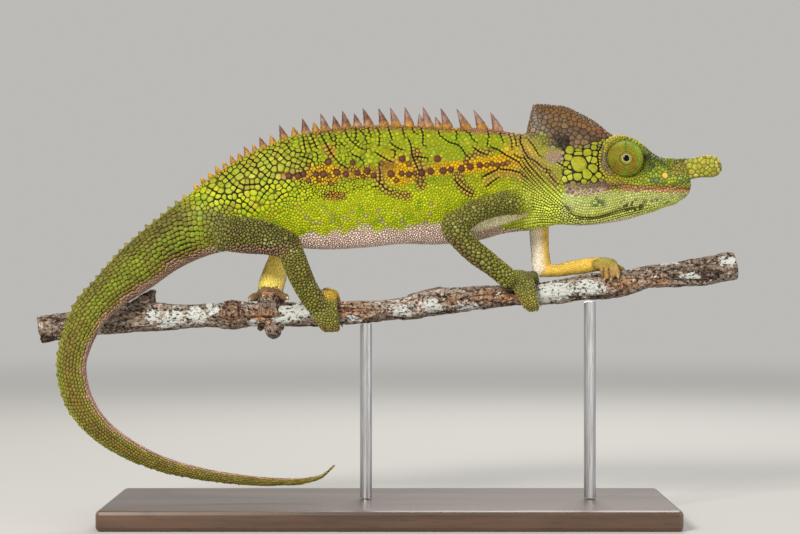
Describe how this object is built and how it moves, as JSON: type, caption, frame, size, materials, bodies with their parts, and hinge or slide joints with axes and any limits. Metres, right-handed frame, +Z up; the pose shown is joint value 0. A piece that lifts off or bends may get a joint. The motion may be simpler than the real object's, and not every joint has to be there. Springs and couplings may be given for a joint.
{
  "type": "rhinoceros chameleon",
  "caption": "Still life-size model of a rhinoceros chameleon walking on a cut branch, with tall casque, blunt nose horn, spiny back and hooked tail, on a plain rod stand.",
  "frame": {"origin": "centre of the display base's underside", "axes": "+X the way the animal walks and faces, +Y to its left side, +Z up out of the base"},
  "size_m": [0.1751, 0.056, 0.1043],
  "materials": {
    "body_skin": "satin, painted scales",
    "tail_skin": "satin, painted scales",
    "right_leg_skin": "satin, painted scales",
    "left_leg_skin": "satin, painted scales",
    "casque_skin": "satin, painted scales",
    "horn_skin": "satin, painted scales",
    "lid_skin": "satin, painted scales",
    "eyeball": "wet gloss",
    "bark": "rough bark with pale lichen",
    "stand_wood": "stained and waxed",
    "stand_steel": "brushed"
  },
  "bodies": {
    "root": {"casque": "casque_skin", "head": "body_skin", "horn": "horn_skin", "jaw": "body_skin", "left_eye_turret": "lid_skin", "left_eyeball": "eyeball", "left_forearm": "left_leg_skin", "left_front_foot": "left_leg_skin", "left_hind_foot": "left_leg_skin", "left_shin": "left_leg_skin", "left_thigh": "left_leg_skin", "left_upper_arm": "left_leg_skin", "neck": "body_skin", "perch_branch": "bark", "right_eye_turret": "lid_skin", "right_eyeball": "eyeball", "right_forearm": "right_leg_skin", "right_front_foot": "right_leg_skin", "right_hind_foot": "right_leg_skin", "right_shin": "right_leg_skin", "right_thigh": "right_leg_skin", "right_upper_arm": "right_leg_skin", "stand_base": "stand_wood", "stand_rod_front": "stand_steel", "stand_rod_rear": "stand_steel", "tail_end": "tail_skin", "tail_lower": "tail_skin", "tail_middle": "tail_skin", "tail_root": "tail_skin", "tail_upper": "tail_skin", "torso": "body_skin"}
  },
  "joints": []
}
